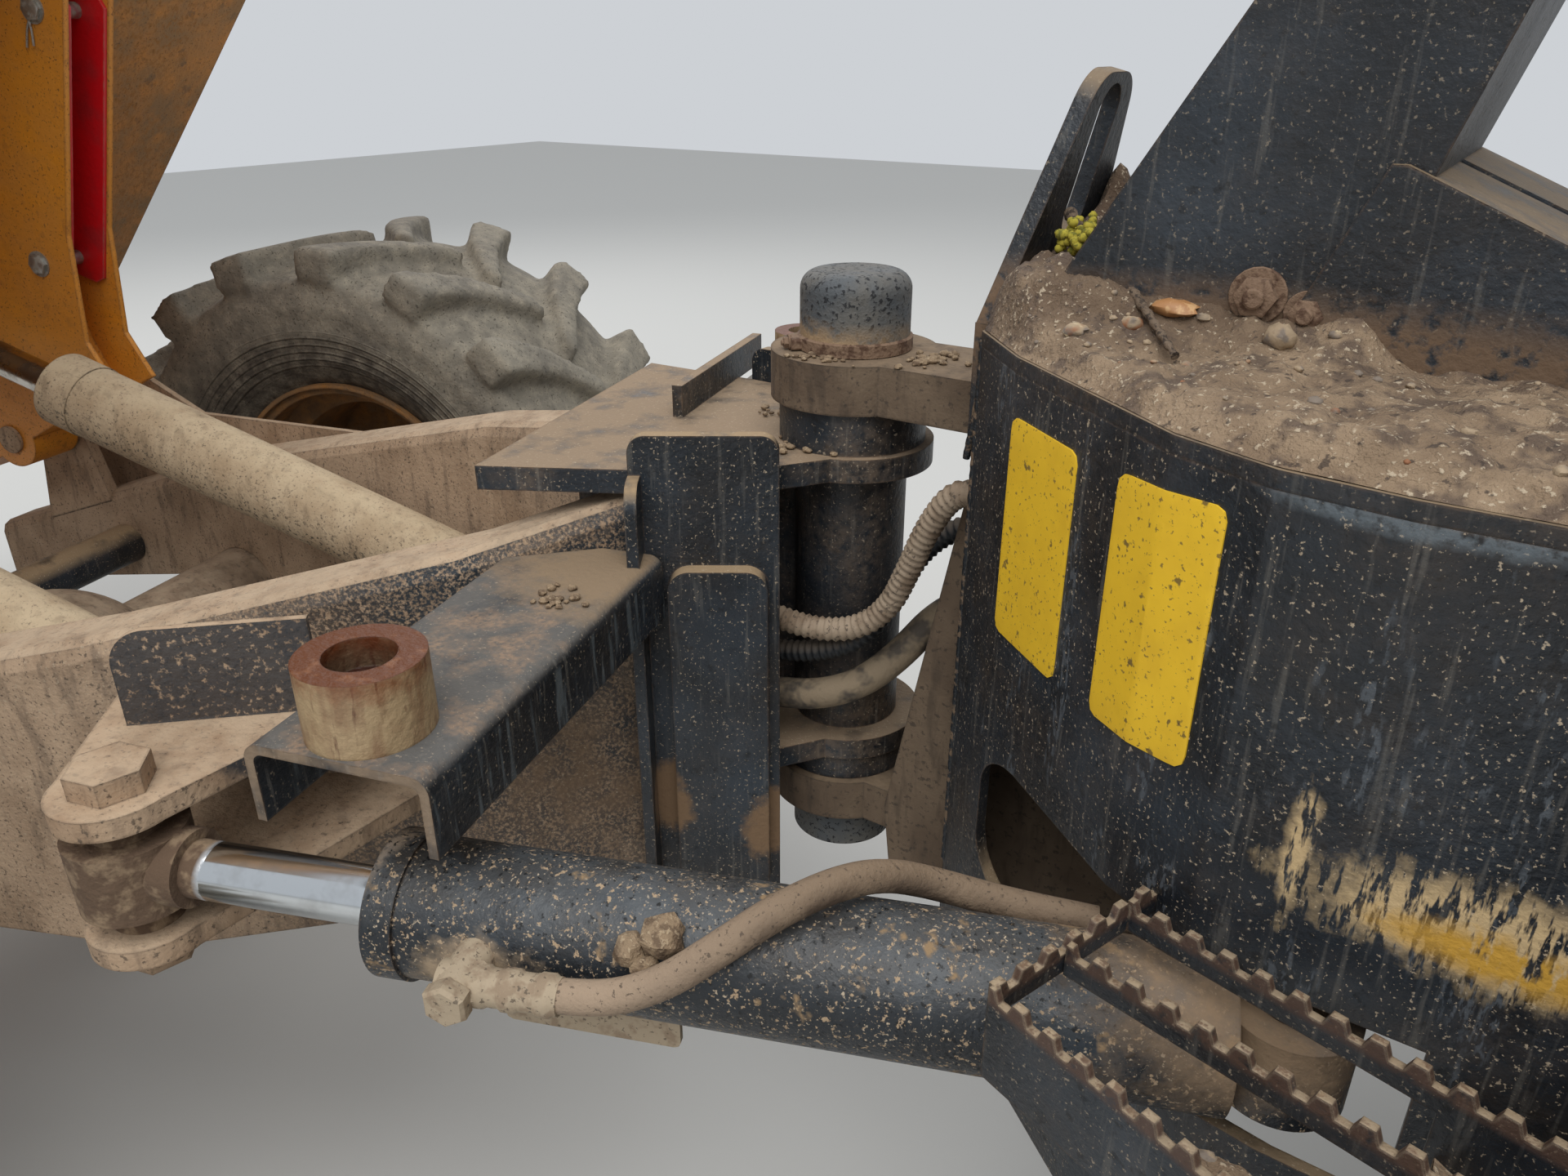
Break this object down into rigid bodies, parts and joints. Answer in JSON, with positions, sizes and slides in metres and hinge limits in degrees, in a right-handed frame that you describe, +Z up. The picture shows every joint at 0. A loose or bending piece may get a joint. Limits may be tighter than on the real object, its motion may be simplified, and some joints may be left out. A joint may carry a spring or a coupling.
{
  "type": "articulated site dumper",
  "caption": "Articulated site dumper with a front tipping skip, a rear operator deck and a roll-over frame, standing steered to its left with the skip part raised.",
  "frame": {"origin": "centre of the whole machine's box on the ground it stands on, at the rest pose", "axes": "+X along the rear chassis towards the front, +Y to the machine's left, +Z up"},
  "size_m": [5.2336, 3.02, 3.33],
  "materials": {
    "black_paint": "satin",
    "dusty_casting": "rough",
    "seat_vinyl": "satin",
    "lamp_plastic": "matte",
    "amber_lens": "gloss",
    "yellow_paint": "gloss",
    "black_plastic": "matte",
    "hose_rubber": "matte",
    "chrome_rod": "polished",
    "tyre": "dusty",
    "rim_paint": "gloss",
    "buffer_rubber": "matte",
    "red_paint": "gloss"
  },
  "bodies": {
    "rear_chassis": {"nose_skirt": "black_paint", "deck": "black_paint", "pivot_lugs": "dusty_casting", "pivot_pin": "black_paint", "sling_plate": "black_paint", "step_tray_left": "black_paint", "step_tray_right": "black_paint", "console": "black_paint", "foot_rests": "black_paint", "seat_base": "black_paint", "seat_pad": "seat_vinyl", "seat_back": "seat_vinyl", "rops": "black_paint", "engine": "dusty_casting", "rear_frame": "black_paint", "counterweight": "dusty_casting", "tanks": "black_paint", "fenders": "black_paint", "lamps": "lamp_plastic", "beacon": "amber_lens", "rear_axle": "dusty_casting", "stack": "black_paint", "handrails": "black_paint", "pivot_hoses": "hose_rubber"},
    "front_chassis": {"front_tail": "black_paint", "cheek_left": "black_paint", "cheek_right": "black_paint", "rail_left": "black_paint", "rail_right": "black_paint", "outriggers": "black_paint", "buffers": "buffer_rubber", "ram_ears": "black_paint", "cross_members": "black_paint", "skip_pivots": "black_paint", "front_axle": "dusty_casting", "lock_bar": "red_paint"},
    "skip": {"skip_bowl": "yellow_paint", "skip_arms": "yellow_paint", "skip_ram_lugs": "yellow_paint", "skip_props": "red_paint"},
    "tip_barrels": {"tip_barrels": "black_paint"},
    "tip_rods": {"tip_rods": "chrome_rod"},
    "steer_barrel": {"steer_barrel": "black_paint", "ram_hose": "hose_rubber"},
    "steer_rod": {"steer_rod": "chrome_rod"},
    "steering_wheel": {"steering_wheel": "black_plastic"},
    "bonnet": {"bonnet": "yellow_paint"},
    "wheel_front_left": {"rim_front_left": "rim_paint", "tyre_front_left": "tyre"},
    "wheel_front_right": {"rim_front_right": "rim_paint", "tyre_front_right": "tyre"},
    "wheel_rear_left": {"rim_rear_left": "rim_paint", "tyre_rear_left": "tyre"},
    "wheel_rear_right": {"rim_rear_right": "rim_paint", "tyre_rear_right": "tyre"}
  },
  "joints": [
    {"name": "articulation", "type": "hinge", "parent": "rear_chassis", "child": "front_chassis", "pos_m": [-0.27684, -0.3, 0.96], "axis": [0, 0, 1], "range_deg": [-49, 17], "deforming": ["pivot_hoses"]},
    {"name": "steer_ram_swing", "type": "hinge", "parent": "rear_chassis", "child": "steer_barrel", "pos_m": [-0.83684, 0.035, 0.885], "axis": [0, 0, 1], "range_deg": [-28.94, 11.02]},
    {"name": "steer_ram_stroke", "type": "slide", "parent": "steer_barrel", "child": "steer_rod", "axis": [0.9302, 0.367, 0], "range_m": [-0.1406, 0.3863]},
    {"name": "skip_tip", "type": "hinge", "parent": "front_chassis", "child": "skip", "pos_m": [1.31886, 0.15756, 0.87], "axis": [-0.2756, 0.9613, 0], "range_deg": [-48, 15]},
    {"name": "tip_ram_swing", "type": "hinge", "parent": "front_chassis", "child": "tip_barrels", "pos_m": [0.31914, -0.1291, 0.744], "axis": [-0.2756, 0.9613, 0], "range_deg": [-2.42, 1.1]},
    {"name": "tip_ram_stroke", "type": "slide", "parent": "tip_barrels", "child": "tip_rods", "axis": [0.9129, 0.2618, 0.3131], "range_m": [-0.1943, 0.0676]},
    {"name": "bonnet_hinge", "type": "hinge", "parent": "rear_chassis", "child": "bonnet", "pos_m": [-2.40684, -0.3, 1.3003], "axis": [0, -1, 0], "range_deg": [0, 62]},
    {"name": "steering_wheel_turn", "type": "hinge", "parent": "rear_chassis", "child": "steering_wheel", "pos_m": [-0.97684, -0.3, 2.01], "axis": [-0.5736, 0, 0.8192], "continuous": true},
    {"name": "roll_front_left", "type": "hinge", "parent": "front_chassis", "child": "wheel_front_left", "pos_m": [0.69858, 0.97838, 0.585], "axis": [-0.2756, 0.9613, 0], "continuous": true},
    {"name": "roll_front_right", "type": "hinge", "parent": "front_chassis", "child": "wheel_front_right", "pos_m": [1.2278, -0.86724, 0.585], "axis": [-0.2756, 0.9613, 0], "continuous": true},
    {"name": "roll_rear_left", "type": "hinge", "parent": "rear_chassis", "child": "wheel_rear_left", "pos_m": [-1.68684, 0.66, 0.585], "axis": [0, 1, 0], "continuous": true},
    {"name": "roll_rear_right", "type": "hinge", "parent": "rear_chassis", "child": "wheel_rear_right", "pos_m": [-1.68684, -1.26, 0.585], "axis": [0, 1, 0], "continuous": true}
  ],
  "couplings": [
    {"joint": "steer_ram_swing", "follows": "articulation", "ratio": 0.56},
    {"joint": "steer_ram_stroke", "follows": "articulation", "m_per_rad": -0.44},
    {"joint": "tip_ram_swing", "follows": "skip_tip", "ratio": 0.04},
    {"joint": "tip_ram_stroke", "follows": "skip_tip", "m_per_rad": 0.22}
  ]
}
